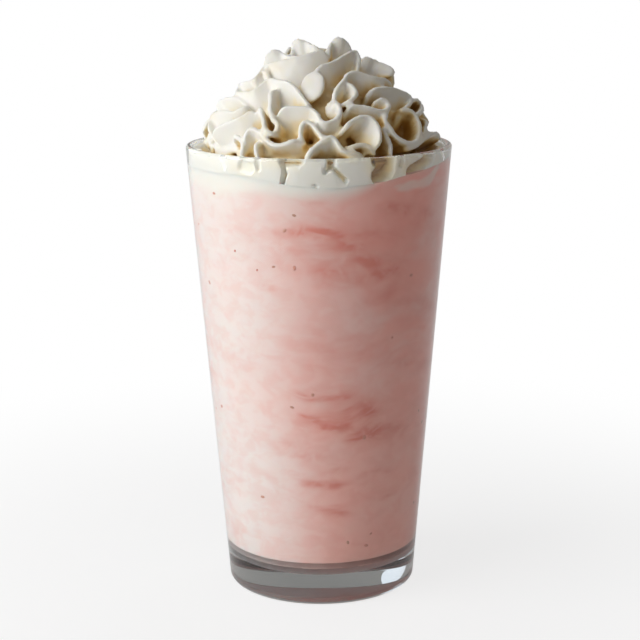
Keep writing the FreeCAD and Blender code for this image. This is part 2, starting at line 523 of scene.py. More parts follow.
def outward(point):
    """The direction in which the dome faces near a point."""
    small = 0.2 * MM
    slopes = []
    for axis in (Vector((small, 0, 0)), Vector((0, small, 0)), Vector((0, 0, small))):
        slopes.append(depth_in_dome(point + axis) - depth_in_dome(point - axis))
    return Vector(slopes).normalized()


def seen_on_dome(across, up, lift=0.0):
    """The place on the dome that the eye sees at (across, up) on the board. Past its outline, the nearest."""
    on_board = lip_middle + Vector((across, 0, 0)) + board_up * (up - FRONT_LIP_DROP)
    ray = (on_board - eye).normalized()
    near = (on_board - eye).length - SEARCH_REACH
    nearest = (math.inf, near)
    for count in range(2 * round(SEARCH_REACH / SEARCH_STEP)):
        reach = near + count * SEARCH_STEP
        depth = depth_in_dome(eye + ray * reach, lift)
        nearest = min(nearest, (depth, reach))
        if depth < 0:
            reach -= SEARCH_STEP * depth / (depth - last_depth)
            return eye + ray * reach
        last_depth = depth
    return eye + ray * nearest[1]


print(f"the dome is {DOME_HEIGHT / MM:.1f} mm tall over the lip")

# %% [markdown]
# A route has only a few points, so a smooth curve is laid through them first. A ribbon is a bmesh grid whose
# rows are then moved: the last onto the crest, the first onto the root, and the others between them.

# %% Routes and ribbons
RIBBON_STEP = 1.0 * MM
RIBBON_ROWS = 7
RIBBON_BOW = 0.85  # under 1, a ribbon is steeper at its root than at its crest
END_ROUNDING = 4  # steps over which a ribbon's end sinks into the cream
END_DROP = 0.6
ROUTE_PARTS = 12  # so many short straight parts from each point of a route to the next


def smooth_route(points):
    """Evenly spaced points on a smooth curve through the given ones."""
    ends = [points[0] * 2 - points[1]] + points + [points[-1] * 2 - points[-2]]
    dense = []
    for a, b, c, d in zip(ends, ends[1:], ends[2:], ends[3:]):
        for share in (step / ROUTE_PARTS for step in range(ROUTE_PARTS)):
            swing = (c - a) * share + (a * 2 - b * 5 + c * 4 - d) * share**2
            swing += (b * 3 - a - c * 3 + d) * share**3
            dense.append(b + swing / 2)
    dense.append(points[-1])
    lengths = [0.0]
    for a, b in zip(dense, dense[1:]):
        lengths.append(lengths[-1] + (b - a).length)
    count = max(4, round(lengths[-1] / RIBBON_STEP))
    route, at = [], 0
    for step in range(count + 1):
        goal = lengths[-1] * step / count
        while at < len(dense) - 2 and lengths[at + 1] < goal:
            at += 1
        share = (goal - lengths[at]) / max(lengths[at + 1] - lengths[at], 1e-9)
        route.append(dense[at].lerp(dense[at + 1], share))
    return route


def middle_of(points):
    return sum(points, Vector((0, 0, 0))) / len(points)


def averaged(points, reach=7):
    """The same route with its wiggles ironed out."""
    calm = []
    for index in range(len(points)):
        half = min(reach, index, len(points) - 1 - index)
        calm.append(middle_of(points[index - half:index + half + 1]))
    return calm


def pipe_ribbon(cream, crest, root):
    """Adds one ribbon, a grid that runs from its root up to its crest."""
    steps = len(crest) - 1
    grid = bmesh.ops.create_grid(cream, x_segments=steps, y_segments=RIBBON_ROWS, size=0.5)
    for vertex in grid["verts"]:
        step = round((vertex.co.x + 0.5) * steps)
        rise = (vertex.co.y + 0.5) ** RIBBON_BOW
        vertex.co = root[step].lerp(crest[step], rise)


def sunk_ends(crest, root):
    """The crest with both of its ends rounded down towards the root."""
    sunk = list(crest)
    for step in range(len(crest)):
        left = min(step, len(crest) - 1 - step)
        if left < END_ROUNDING:
            drop = 1 - math.sqrt(1 - ((END_ROUNDING - left) / END_ROUNDING) ** 2)
            sunk[step] = crest[step].lerp(root[step], END_DROP * drop)
    return sunk


print(f"a ribbon has {RIBBON_ROWS} rows and a step every {RIBBON_STEP / MM:.0f} mm")

# %% [markdown]
# The ribbons at the front follow here, from the back lumps down to the ribs at the lip. Each has a name, the
# lean of its root, its depth, how far it stands out, how much its root is gathered, and its route. All are in
# millimetres, except for the gathering, which is a share: a gathered root wiggles less than its crest.

# %% Ribbons listed one by one
HAND_LAID = [
    ("back lump left", (2, -6), 6, 0, 0.5,
     [(-19.5, 31), (-17.3, 34), (-15, 35.8), (-12.5, 35.4), (-10, 34.2), (-7, 34), (-3, 34.5)]),
    ("back lump middle", (1, -6), 6, 0, 0.5,
     [(-9.5, 34), (-8.5, 38), (-6.5, 39.5), (-4, 38.8), (-1.5, 37.8), (2, 37.8)]),
    ("back lump right", (0, -5), 6, 0, 0.5,
     [(3.2, 34), (3.8, 37.5), (6.3, 40), (9, 39), (11, 36.5), (12.5, 34.5)]),
    ("top blade left", (1, -8), 6, 0.5, 0.2,
     [(-16, 27.5), (-17.8, 30.8), (-12, 32.5), (-5, 34.3), (1, 36), (4, 36.3)]),
    ("top blade right", (-1, -10), 6, 1.5, 0.1,
     [(-3, 30), (0, 30.7), (4, 32), (8, 34), (11.5, 35.8), (13.8, 34.5), (14, 31)]),
    ("right slope", (-1, -6), 7, -0.8, 0.1,
     [(13, 32), (15, 33.5), (18, 32.8), (20.5, 31.2), (22.5, 29), (25, 27.8), (27, 25.5)]),
    ("long wave", (0, -7), 6, 1, 0.2,
     [(-29, 24.5), (-27, 22.5), (-24, 22.2), (-21.5, 23), (-19, 25), (-16.5, 26.7), (-14, 26.3), (-11, 25.8),
      (-8.5, 24.5), (-6, 21.5), (-4, 19), (-1, 17.5)]),
    ("upright fold", (2, -1), 9, 1.5, 0.3,
     [(-14, 25), (-16, 22), (-16.3, 19), (-16.5, 16), (-15.5, 13), (-13.8, 11.5), (-14.5, 10), (-17, 10)]),
    ("middle wave", (0, -8), 6, 2, 0.3,
     [(-15, 16.5), (-10, 17.3), (-5, 17.2), (-2.5, 16.8), (-0.5, 15), (0.5, 13), (2, 12), (3.7, 12.2),
      (5.7, 13.2), (7.2, 15), (7.2, 17.5), (5.5, 19), (3.5, 18.8)]),
    ("high wave right", (2, -6), 6, 1.5, 0.2,
     [(4.5, 19.5), (5, 21.5), (6.5, 24), (8.5, 26.5), (10, 28.5), (12.5, 29), (16, 28), (20, 26.7),
      (25.5, 26.5)]),
    ("small curl right", (-4, -1), 6, 1.5, 0.3,
     [(8, 26), (10.5, 25), (12.8, 22.8), (12.8, 20.5), (10, 18.5), (7.5, 18.5)]),
    ("low wave right", (0, -6), 6, 1.5, 0.3,
     [(8, 16), (11, 17.5), (14, 17.5), (17, 16.8), (20, 16), (22, 16), (23.8, 17), (23.5, 18.7), (21, 20),
      (18, 20.2)]),
    ("side blade right", (-1, -6), 6, 1, 0.3,
     [(16, 22.5), (19, 23.3), (22, 23.5), (25, 23.3), (28, 22), (31, 20.3), (31.2, 18.6), (28.5, 18)]),
    ("big petal", (-6, -4), 5, 2.5, 0.3,
     [(9, 9), (11, 11.8), (13.5, 13.3), (16.5, 14), (18.7, 12.8), (20.5, 10), (21, 7), (20.7, 4), (19, 2.5)]),
    ("round curl", (0, 0), 9, 1.5, 0.1,
     [(25, 18), (23, 15), (22.5, 12), (24, 10), (25.5, 7.5), (28, 5.5), (31, 4.5), (33.5, 5.5), (34.3, 9),
      (33.8, 12), (32, 15), (29, 16.5), (27.5, 17)]),
    ("edge curl right", (0, 0), 8, 1.5, 0.3,
     [(30.5, 17.5), (32, 19.3), (34, 18.7), (35, 16.7), (34, 14.5), (31, 14.8)]),
    ("side wave left", (2, -6), 6, 1, 0.2,
     [(-37.5, 9), (-34, 10.3), (-30, 12.3), (-26, 14), (-23, 16), (-20.5, 17)]),
    ("edge fold left", (1, -4), 6, 0.5, 0.2,
     [(-38, 8), (-36.8, 12.5), (-34.8, 15), (-32, 16), (-29, 15.5), (-26, 17), (-24, 19.5)]),
    ("edge fold higher", (1, -4), 6, 0.5, 0.2, [(-35, 15), (-34, 18), (-31, 20), (-28, 20.5), (-24, 19)]),
    ("edge fold highest", (1, -4), 6, 0.5, 0.2,
     [(-29, 20.5), (-27, 24.3), (-24.5, 25.6), (-22, 26.2), (-20.2, 28.2), (-18.5, 30.5), (-15, 31.5),
      (-12, 31)]),
    ("bright fold left", (1, -1), 9, 2, 0.3,
     [(-22.5, 16.3), (-20.3, 17), (-19.3, 15), (-18.8, 12), (-18.2, 9.5), (-16, 8.3), (-13.5, 9)]),
    ("low wave left", (0, -5), 6, 1.5, 0.3,
     [(-25.5, 4), (-25, 7.5), (-23, 10), (-20.3, 9.2), (-18, 6.5), (-15.5, 4.5), (-13, 4.3), (-10.5, 5),
      (-8, 6.2), (-5.5, 6.3)]),
    ("low rib left", (0, 0), 9, 1, 0.3,
     [(-31, 6), (-28.5, 7.3), (-26.3, 6), (-25.8, 3.5), (-26.3, 1), (-27, -2)]),
    ("low rib", (0, 0), 9, 1, 0.3, [(-19.5, 6.5), (-21.2, 5), (-21.5, 2.5), (-21, 0), (-21.5, -3)]),
    ("middle curl", (1, -1), 9, 1.5, 0.3,
     [(-5, 4.5), (-6.3, 7.5), (-5.8, 11), (-4, 12.2), (-2, 11), (-0.5, 9), (1.3, 7), (4, 6.8)]),
    ("front wave", (0, -5), 6, 1.5, 0.3,
     [(-5, -1.5), (-3.5, 1.2), (-1.5, 3.5), (1.5, 5.8), (4.5, 7.2), (6, 5.5), (7.5, 3), (9.5, 1.8), (13, 1.2),
      (16.5, 1)]),
    ("front fold right", (0, -4), 7, 1, 0.3, [(8, 4), (10.5, 3.2), (13, 4), (15.5, 4.2), (18, 2.7), (20, 0)]),
    ("low rib right", (0, 0), 9, 1, 0.3,
     [(20.5, 11.5), (21.5, 9.5), (22.8, 7), (24.2, 4), (24.5, 1), (25.5, -2)]),
    ("low curl right", (0, 0), 8, 1, 0.3,
     [(29, 2.5), (32.5, 3.5), (35.5, 6), (36, 9), (36.5, 12.5), (34.5, 13.5)]),
    ("edge low right", (-1, -3), 7, 1.8, 0.3, [(35, 5.5), (38, 7.8), (41, 7.3), (42, 5)]),
]


def hand_laid_ribbon(lean, depth, lift, gathering, places, wander=0.0, seed=0):
    """The crest and the root of a ribbon that was laid as seen from the front."""
    route = smooth_route([Vector((across, up, 0)) * MM for across, up in places])
    for step, place in enumerate(route if wander else []):
        place.x += wander * noise.noise(Vector((step * 0.07, seed, 0)))
        place.y += wander * noise.noise(Vector((step * 0.07, seed, 7)))
    crest = [seen_on_dome(place.x, place.y, lift * MM) for place in route]
    root = []
    for place, calm in zip(route, averaged(route)):
        foot = place.lerp(calm, gathering) + Vector((lean[0], lean[1], 0)) * MM
        on_dome = seen_on_dome(foot.x, foot.y)
        root.append(on_dome - outward(on_dome) * depth * MM)
    return sunk_ends(crest, root), root


cream = bmesh.new()
for _, lean, depth, lift, gathering, places in HAND_LAID:
    pipe_ribbon(cream, *hand_laid_ribbon(lean, depth, lift, gathering, places))
print(f"{len(HAND_LAID)} ribbons laid by hand")

# %% [markdown]
# The same hand went on round the glass. So the front's ribbons are laid twice more, each time turned by about
# a third of a circle, and they wander and stand out differently, so that no two folds are alike.

# %% The same hand at the sides and the back
SIDE_TURNS = (118, 236)
WANDER = 2.5 * MM
LIFT_CHANGE = (-3.2, 0.4)  # in mm, so that some folds stand back from others
COPY_SUNK = 2.2 * MM  # near the sides the copies stand back, behind the ones laid by hand
BESIDE = 20 * MM  # a copy is near the sides if its middle lies further out than this
BEHIND = 14 * MM  # and not further back than this
HAND_LAID_UP_TO = -6 * MM  # in front of this there are no copies
TIP_ROOM = 10 * MM  # nor are there any this near to the tip

chance = random.Random(17)
laid = 0
for turn in SIDE_TURNS:
    onward = Matrix.Rotation(math.radians(turn), 3, "Z")
    for seed, (_, lean, depth, lift, gathering, places) in enumerate(HAND_LAID):
        lift += chance.uniform(*LIFT_CHANGE)
        crest, root = hand_laid_ribbon(lean, depth, lift, gathering, places, WANDER, seed + turn)
        crest, root = [onward @ p for p in crest], [onward @ p for p in root]
        middle = middle_of(crest)
        if abs(middle.x) > BESIDE and middle.y < BEHIND:
            crest = [p - outward(p) * COPY_SUNK for p in crest]
        if middle.y > HAND_LAID_UP_TO and middle.xy.length > TIP_ROOM:
            pipe_ribbon(cream, crest, root)
            laid += 1
print(f"{laid} more at the sides and the back")

# %% [markdown]
# Between the folds one sees more cream, never a smooth core. Rows of snaking ribbons run round the dome a few
# millimetres under its surface, so each hollow ends in a softer fold of its own.

# %% Ribbons that fill the hollows
ROWS = (-0.18, 0.0, 0.13, 0.26, 0.40, 0.54, 0.68, 0.84)  # in shares of the climb, from under the lip
SLOPE_LENGTH = 62 * MM
FILL_LENGTH = 75 * MM
FILL_SUNK = 4 * MM
FILL_DEPTH = 11 * MM
SUNK_ON_THE_RIGHT = 3.5 * MM  # there the cream is looser, and its hollows are deeper


def place_on_slope(bearing, climb):
    """A place on the dome and the way it faces. climb is 0 at the lip and 1 at the top."""
    turn = max(climb, 0.0) * math.pi / 2
    radius = DOME_RADIUS * math.cos(turn) ** (2 / DOME_FULLNESS)
    height = DOME_HEIGHT * math.sin(turn) ** (2 / DOME_FULLNESS) + min(climb, 0.0) * DOME_HEIGHT
    away = Vector((math.cos(bearing), math.sin(bearing), 0))
    return away * radius + UP * (LIP_HEIGHT + height), away * math.cos(turn) + UP * math.sin(turn)


def wandering_ribbon(bearing, climb, length, chance):
    """A ribbon that snakes along a row, as a fin does when it buckles."""
    offset = chance.random() * 100
    swell = chance.uniform(3.2, 4.8) * MM
    wave = chance.uniform(12, 16) * MM
    lean = chance.uniform(-0.06, 0.08) * RIBBON_STEP / SLOPE_LENGTH
    phase = chance.uniform(0, 2 * math.pi)
    crest, root = [], []
    for step in range(round(length / RIBBON_STEP)):
        here = wave * (1 + 0.35 * noise.noise(Vector((step * 0.04, offset, 0))))
        size = swell * (1 + 0.5 * noise.noise(Vector((step * 0.05, offset, 9))))
        phase += 2 * math.pi * RIBBON_STEP / here
        radius = max(DOME_RADIUS * math.cos(max(climb, 0) * math.pi / 2), 4 * MM)
        bearing += RIBBON_STEP / radius
        climb = min(climb + lean, 0.97)
        snake_climb = min(climb + size * math.sin(phase) / SLOPE_LENGTH, 1.0)
        snake_bearing = bearing - 0.22 * here * math.sin(2 * phase) / radius
        sway = 1.6 * MM * noise.noise(Vector((step * 0.06, offset, 20)))
        place, facing = place_on_slope(snake_bearing, snake_climb)
        sunk = FILL_SUNK + SUNK_ON_THE_RIGHT * max(0.0, place.x / DOME_RADIUS)
        crest.append(place + facing * (sway - sunk))
        calm_bearing = 0.7 * bearing + 0.3 * snake_bearing
        place, facing = place_on_slope(calm_bearing, 0.7 * climb + 0.3 * snake_climb)
        root.append(place - facing * FILL_DEPTH)
    return crest, root


chance = random.Random(11)
filled = 0
for row in ROWS:
    around = 2 * math.pi * DOME_RADIUS * math.cos(max(row, 0) * math.pi / 2)
    count = max(1, round(around / FILL_LENGTH))
    start = chance.uniform(0, 2 * math.pi)
    for number in range(count):
        bearing = start + 2 * math.pi * number / count
        climb = row + chance.uniform(-0.02, 0.02)
        length = around / count * chance.uniform(1.05, 1.2)
        pipe_ribbon(cream, *wandering_ribbon(bearing, climb, length, chance))
        filled += 1
print(f"{filled} ribbons in the hollows")

# %% [markdown]
# Inside the glass the cream is one squeezed mass, so a turned plug fills the glass from the drink to the lip.
# Folds that didn't close leave cracks and pockets in it, where the light is lost. They are cut later, once
# the skin is fine enough. The plump petals between the ribbons are squashed icospheres.

# %% The plug and the petals
PLUG_BELOW_LIP = 1.2 * MM
PLUG_HOLLOW = 4 * MM  # the middle of the plug lies so much lower than its rim
PLUG_SKIRT = 2 * MM  # it starts so far under the cream's foot, where it's cut off later
PLUG_INTO_WALL = 0.5 * MM
PLUG_RIM = 2.5 * MM
PLUG_SLOPE = 6 * MM  # inwards of this it's hollow

plug_top = LIP_HEIGHT - PLUG_BELOW_LIP
plug_foot = CREAM_FOOT - PLUG_SKIRT
top_radius = inner_radius(plug_top)
plug = turned([
    (0, plug_foot), (inner_radius(plug_foot) + PLUG_INTO_WALL, plug_foot),
    (top_radius + PLUG_INTO_WALL, plug_top), (top_radius - PLUG_RIM, plug_top),
    (top_radius - PLUG_SLOPE, plug_top - PLUG_HOLLOW), (0, plug_top - PLUG_HOLLOW),
])
plug_data = as_mesh(plug, "plug")


def squashed_ball(shell, middle, facing, half_width, half_height, half_depth, tilt=0.0):
    """A ball squashed to those half sizes, with its depth along facing, and tilted by so many degrees."""
    across = Matrix.Rotation(math.radians(tilt), 3, facing) @ UP.cross(facing).normalized()
    along = facing.cross(across)
    turn = Matrix((across, along, facing)).transposed().to_4x4()
    size = Matrix.Diagonal((half_width, half_height, half_depth, 1))
    bmesh.ops.create_icosphere(shell, subdivisions=3, radius=1,
                               matrix=Matrix.Translation(middle) @ turn @ size)


balls = bmesh.new()
PETALS = [  # across and up, as the ribbons are, half width, half height, tilt in degrees, and where it looks
    (-2.2, 23.2, 4.7, 6.2, 14, (-1.0, -0.9, 0.6)), (4.6, 15.8, 2.6, 3.6, 0, (-0.6, -0.8, 0.3)),
    (19.4, 29.0, 8.6, 4.4, -30, (-0.8, -0.5, 0.7)),
]
PETAL_SUNK = 1.2 * MM
PETAL_DEPTH = 0.25  # in shares of its width
for across, up, half_width, half_height, tilt, looks in PETALS:
    middle = seen_on_dome(across * MM, up * MM, -PETAL_SUNK)
    facing = (outward(middle) + Vector(looks)).normalized()
    half_depth = PETAL_DEPTH * half_width * MM
    squashed_ball(balls, middle, facing, half_width * MM, half_height * MM, half_depth, tilt)
print(f"one plug and {len(PETALS)} petals")

# %% [markdown]
# A crack is a route on the wall with a width and a depth. They aren't pieces: the depth at a place says how
# far the skin steps back from the glass there, and the wider ones become pockets.

# %% Cracks and pockets in the plug
CRACKS = [  # half width and depth in mm, and the route as bearings from the front and heights over the drink
    (1.7, 1.0, [(-34, 6.6), (-31, 6.4)]), (0.8, 0.9, [(-27, 9), (-26.5, 6.4)]),
    (0.9, 0.4, [(-46, 10), (-44, 6)]), (1.3, 3.5, [(-15.5, 8.8), (-8, 9.4)]),
    (0.5, 2.5, [(-16, 8.5), (-14.8, 4.8), (-16.3, 1.6)]), (1.3, 3.5, [(5.4, 10.5), (5.0, 7.8)]),
    (0.55, 2.4, [(5.0, 7.8), (8.1, 5.3), (11.5, 2.6)]), (0.5, 1.8, [(5.0, 7.6), (2.5, 5.7)]),
    (0.6, 1.0, [(-2, 1.6), (-1.6, 1.4)]), (2.3, 6.0, [(26.2, 9.5), (30.5, 9.0), (30.0, 5.2), (26.5, 4.4)]),
    (1.7, 5.0, [(43.5, 4.2), (50, 5.8), (56, 8.8)]), (0.7, 1.6, [(66, 9.5), (69, 6)]),
    (0.5, 1.4, [(38, 10), (37, 6.5)]),
]
DICED_CRACKS = 26
CRACK_WANDER = 0.9 * MM
CRACK_FADES = (0.65, 1.35)  # a crack is whole up to the first share of its half width, and gone at the second
CRACK_NEAR = 0.4  # in radians, how far round the glass a crack is looked for

chance = random.Random(5)
cracks = list(CRACKS)
for _ in range(DICED_CRACKS):
    bearing, height = chance.uniform(74, 286), chance.uniform(3, 9)
    route = [(bearing, height)]
    for _ in range(2):
        bearing, height = bearing + chance.uniform(-4, 4), height + chance.uniform(-1.5, 4)
        route.append((bearing, height))
    cracks.append((chance.choice((0.5, 0.6, 1.2, 2.0)), chance.uniform(2, 5), route))


def crack_depth(place):
    """How deep the cracks are at a place on the wall."""
    wander = noise.noise_vector(place * 160) * CRACK_WANDER
    bearing = math.atan2(place.x, -place.y)
    height = place.z + wander.z - CREAM_FOOT
    radius = inner_radius(place.z)
    deepest = 0.0
    for half_width, depth, route in cracks:
        if abs(math.remainder(bearing - math.radians(route[0][0]), 2 * math.pi)) > CRACK_NEAR:
            continue
        for (b1, h1), (b2, h2) in zip(route, route[1:]):
            across = math.remainder(bearing - math.radians(b1), 2 * math.pi) * radius + wander.x
            run = math.radians(b2 - b1) * radius, (h2 - h1) * MM
            away = math.hypot(*off_line(across, height - h1 * MM, *run)) / (half_width * MM)
            share = clamped((CRACK_FADES[1] - away) / (CRACK_FADES[1] - CRACK_FADES[0]))
            deepest = max(deepest, depth * MM * eased(share))
    return deepest


print(f"{len(cracks)} cracks")

# %% [markdown]
# The ribbons are still sheets without thickness. Solidify makes them as thick as the fins are, a core fills
# the middle, and a voxel remesh melts everything into one skin, with soft creases where ribbons touch. Below
# the lip the cream is pressed flat on the glass, so points that would cut the wall are moved back to it.

# %% Melt the ribbons into one skin
RIBBON_THICKNESS = 1.55 * MM
CORE_INSET = 9 * MM
VOXEL = 0.55 * MM
CREAM_INTO_WALL = 0.1 * MM
UNEVEN = 0.22 * MM  # cream is never quite smooth
CREAM_KEPT = 0.5  # of the remesh's triangles, since the flat parts need fewer
PRESSED_FROM = 0.85  # cracks grow in from this share of the way to the wall
PRESSED_OVER = 0.1  # to their full depth, over so much more of it

bmesh.ops.recalc_face_normals(cream, faces=cream.faces)
sheets = linked("ribbons", as_mesh(cream, "ribbons"))
thicken = sheets.modifiers.new("thickness", "SOLIDIFY")
thicken.thickness = RIBBON_THICKNESS
thicken.offset = 0


def applied(thing):
    """The mesh of an object with its modifiers applied."""
    graph = bpy.context.evaluated_depsgraph_get()
    return bpy.data.meshes.new_from_object(thing.evaluated_get(graph))


melt = bmesh.new()
melt.from_mesh(applied(sheets))
bpy.data.objects.remove(sheets)
melt.from_mesh(as_mesh(balls, "petals"))
melt.from_mesh(plug_data)
core = bmesh.ops.create_uvsphere(melt, u_segments=96, v_segments=48, radius=1)
for vertex in core["verts"]:
    x, y, z = vertex.co
    radius = DOME_RADIUS - CORE_INSET
    height = (DOME_HEIGHT - CORE_INSET) * z if z > 0 else (LIP_HEIGHT - CREAM_FOOT) * z
    vertex.co = (x * radius, y * radius, LIP_HEIGHT + height)
lump = linked("melted", as_mesh(melt, "melted"))
remesh = lump.modifiers.new("melt", "REMESH")
remesh.mode = "VOXEL"
remesh.voxel_size = VOXEL
soften = lump.modifiers.new("soften", "SMOOTH")
soften.factor = 0.5
soften.iterations = 2
skin = bmesh.new()
skin.from_mesh(applied(lump))
lump.modifiers.clear()
print(f"the melted cream has {len(skin.verts)} corners")

# %% Press it on the glass and thin it
for vertex in skin.verts:
    vertex.co += vertex.normal * UNEVEN * noise.noise(vertex.co * 260)
    reach = inner_radius(min(vertex.co.z, LIP_HEIGHT)) + CREAM_INTO_WALL
    radius = vertex.co.xy.length
    if vertex.co.z < LIP_HEIGHT and radius > PRESSED_FROM * reach:
        near_wall = min(1.0, (radius / reach - PRESSED_FROM) / PRESSED_OVER)
        reach -= near_wall * crack_depth(vertex.co)
    if radius > reach:
        vertex.co.x *= reach / radius
        vertex.co.y *= reach / radius
skin.to_mesh(lump.data)
skin.free()
thin = lump.modifiers.new("thin", "DECIMATE")
thin.ratio = CREAM_KEPT
skin = bmesh.new()
skin.from_mesh(applied(lump))
bpy.data.objects.remove(lump)
print(f"thinned to {len(skin.verts)} corners")

# %% [markdown]
# Inside the glass the cream ends in a flat foot on the drink. One cut makes it, and its hole is filled again.
# The remesh also leaves a few crumbs, which are small pieces that touch nothing, and they go.

# %% Cut the foot flat and drop the crumbs
bmesh.ops.bisect_plane(skin, geom=skin.verts[:] + skin.edges[:] + skin.faces[:],
                       plane_co=UP * CREAM_FOOT, plane_no=UP, clear_inner=True)
cut = [edge for edge in skin.edges if edge.is_boundary]
for edge in cut:
    edge.smooth = False
bmesh.ops.triangulate(skin, faces=bmesh.ops.holes_fill(skin, edges=cut)["faces"])


def loose_pieces(shell):
    """The corners of each piece of the mesh that hangs together, the largest first."""
    left, pieces = set(shell.verts), []
    while left:
        piece, reached = [], [left.pop()]
        while reached:
            vertex = reached.pop()
            piece.append(vertex)
            for edge in vertex.link_edges:
                other = edge.other_vert(vertex)
                if other in left:
                    left.remove(other)
                    reached.append(other)
        pieces.append(piece)
    return sorted(pieces, key=len, reverse=True)


crumbs = [vertex for piece in loose_pieces(skin)[1:] for vertex in piece]
bmesh.ops.delete(skin, geom=crumbs, context="VERTS")
open_edges = sum(not edge.is_manifold for edge in skin.edges)
print(f"{len(cut)} edges round the foot, {len(crumbs)} corners of crumbs gone, {open_edges} open edges")

# %% [markdown]
# In its folds cream is darker and warmer, from shade and from light that bounces there many times, and that
# shade is painted into its colour. Short rays from every point tell how much of its view other folds take,
# and the material reads that as an attribute.

# %% How hollow each spot is
HOLLOW_REACH = 15 * MM
HOLLOW_RAYS = 12
HOLLOW_ROUNDS = 3  # how often each spot takes the mean of itself and its neighbours
RAY_START = 0.3 * MM  # off the skin, so that a ray doesn't hit the spot it leaves

skin.normal_update()
folds = BVHTree.FromBMesh(skin)
chance = random.Random(3)
spread = []
while len(spread) < HOLLOW_RAYS:
    ray = Vector([chance.uniform(-1, 1) for _ in range(3)])
    if 0.1 < ray.length < 1:
        spread.append(ray.normalized())
hollow = skin.verts.layers.float.new("hollow")
for vertex in skin.verts:
    start = vertex.co + vertex.normal * RAY_START
    hits = 0
    for ray in spread:
        ray = ray if ray.dot(vertex.normal) > 0 else -ray
        if folds.ray_cast(start, (ray + vertex.normal * 0.3).normalized(), HOLLOW_REACH)[0]:
            hits += 1
    vertex[hollow] = hits / HOLLOW_RAYS
for _ in range(HOLLOW_ROUNDS):
    calmer = []
    for vertex in skin.verts:
        near = [edge.other_vert(vertex)[hollow] for edge in vertex.link_edges]
        calmer.append((vertex[hollow] + sum(near)) / (1 + len(near)))
    for vertex, value in zip(skin.verts, calmer):
        vertex[hollow] = value
print(f"mean hollow {sum(v[hollow] for v in skin.verts) / len(skin.verts):.2f}")
whipped = finished(skin, "piped_cream", "whipped_cream")
even_normals(whipped)

# %% [markdown]
# ## Finishes
#
# The glass is colourless, so its finish is a bare Principled shader that lets everything through. A little
# grey absorption shows only where there is much glass to look through, in the foot and along the edges. Light
# Path lets shadow rays straight through, or the drink would stand in the dark.

# %% Clear glass
GLASS_THROUGH = (0.95, 0.97, 0.965, 1)
GLASS_GREY = (0.54, 0.56, 0.58, 1)
GLASS_DENSITY = 30.0


def surface(name, base, roughness, **values):
    """A material with one Principled shader, its tree, that shader, and the material's output."""
    material = bpy.data.materials.new(name)
    tree = empty_tree(material)
    inputs = {"Base Color": (*base, 1), "Roughness": roughness}
    inputs.update({key.replace("_", " "): value for key, value in values.items()})
    shader = add(tree, "BsdfPrincipled", inputs)
    out = add(tree, "OutputMaterial", {"Surface": shader.outputs[0]})
    print("finish:", name)
    return material, tree, shader, out


clear_glass, tree, shader, out = surface("clear_glass", (0.97, 0.985, 0.98), 0.0,
                                         IOR=1.5, Transmission_Weight=1.0)
through = add(tree, "BsdfTransparent", {"Color": GLASS_THROUGH})
shadow = add(tree, "LightPath").outputs["Is Shadow Ray"]
mix = add(tree, "MixShader", {0: shadow, 1: shader.outputs[0], 2: through.outputs[0]})
tree.links.new(mix.outputs[0], out.inputs["Surface"])
tint = add(tree, "VolumeAbsorption", {"Color": GLASS_GREY, "Density": GLASS_DENSITY})
tree.links.new(tint.outputs[0], out.inputs["Volume"])
glass.data.materials.append(clear_glass)

# %% [markdown]
# The drink is ice cream and milk whipped with crushed strawberries. Streaks of juice and pulp lie round the
# glass in flat, wavy bands, because the drink was stirred and poured. The left side, where the light falls,
# is painted paler, partly as milk and partly as painted light. The right side is painted a deeper pink as
# painted shade, and the lower part is painted lighter as painted light. Noise that is stretched sideways
# gives the bands, and a second noise bends them.

# %% Milkshake
PINK = (0.84, 0.50, 0.45, 1)
CORAL = (0.72, 0.23, 0.17, 1)
PINK_IN_PAINTED_SHADE = (0.86, 0.385, 0.32, 1)
MILK_AND_PAINTED_LIGHT = (0.79, 0.73, 0.70, 1)
LOW_PAINTED_LIGHT_MILKY = (0.82, 0.78, 0.76, 1)  # painted light: the lower part of the drink is painted lighter, in this tone on the pale left side
LOW_PAINTED_LIGHT_PINK = (0.98, 0.55, 0.47, 1)
FOAM = (0.80, 0.765, 0.71, 1)


def cloudy(tree, place, scale, detail=2.0, distortion=0.0):
    """Plain noise, from 0 to 1."""
    inputs = {"Vector": place, "Scale": scale, "Detail": detail, "Distortion": distortion}
    return add(tree, "TexNoise", inputs).outputs["Fac"]


def banded(tree, place, stretch, scale, shift, detail=3.0, distortion=0.0):
    """Noise whose patches are as many times wider than high as stretch says."""
    squeezed = add(tree, "Mapping", {"Vector": place, "Location": shift, "Scale": (1, 1, stretch)})
    return cloudy(tree, squeezed.outputs[0], scale, detail, distortion)


def spread_on(tree, colour, share, strength, over):
    """The colour with another over it, as strong as that number or link says where the share is 1."""
    return blended(tree, calculated(tree, "MULTIPLY", share, strength), colour, over)


shake_finish, tree, shader, out = surface(
    "strawberry_milkshake", PINK[:3], 0.4,
    Subsurface_Weight=0.6, Subsurface_Scale=3 * MM, Subsurface_Radius=(1.0, 0.55, 0.45),
)
place = place_on(tree)
bend = add(tree, "TexNoise", {"Vector": place, "Scale": 26.0, "Detail": 1.0}).outputs["Color"]
bend = add(tree, "VectorMath", {0: bend, 1: (0.5, 0.5, 0.5)}, operation="SUBTRACT").outputs[0]
bend = add(tree, "VectorMath", {0: bend, "Scale": 0.030}, operation="SCALE").outputs[0]
bent = add(tree, "VectorMath", {0: place, 1: bend}, operation="ADD").outputs[0]
across, _, height = add(tree, "SeparateXYZ", {0: bent}).outputs
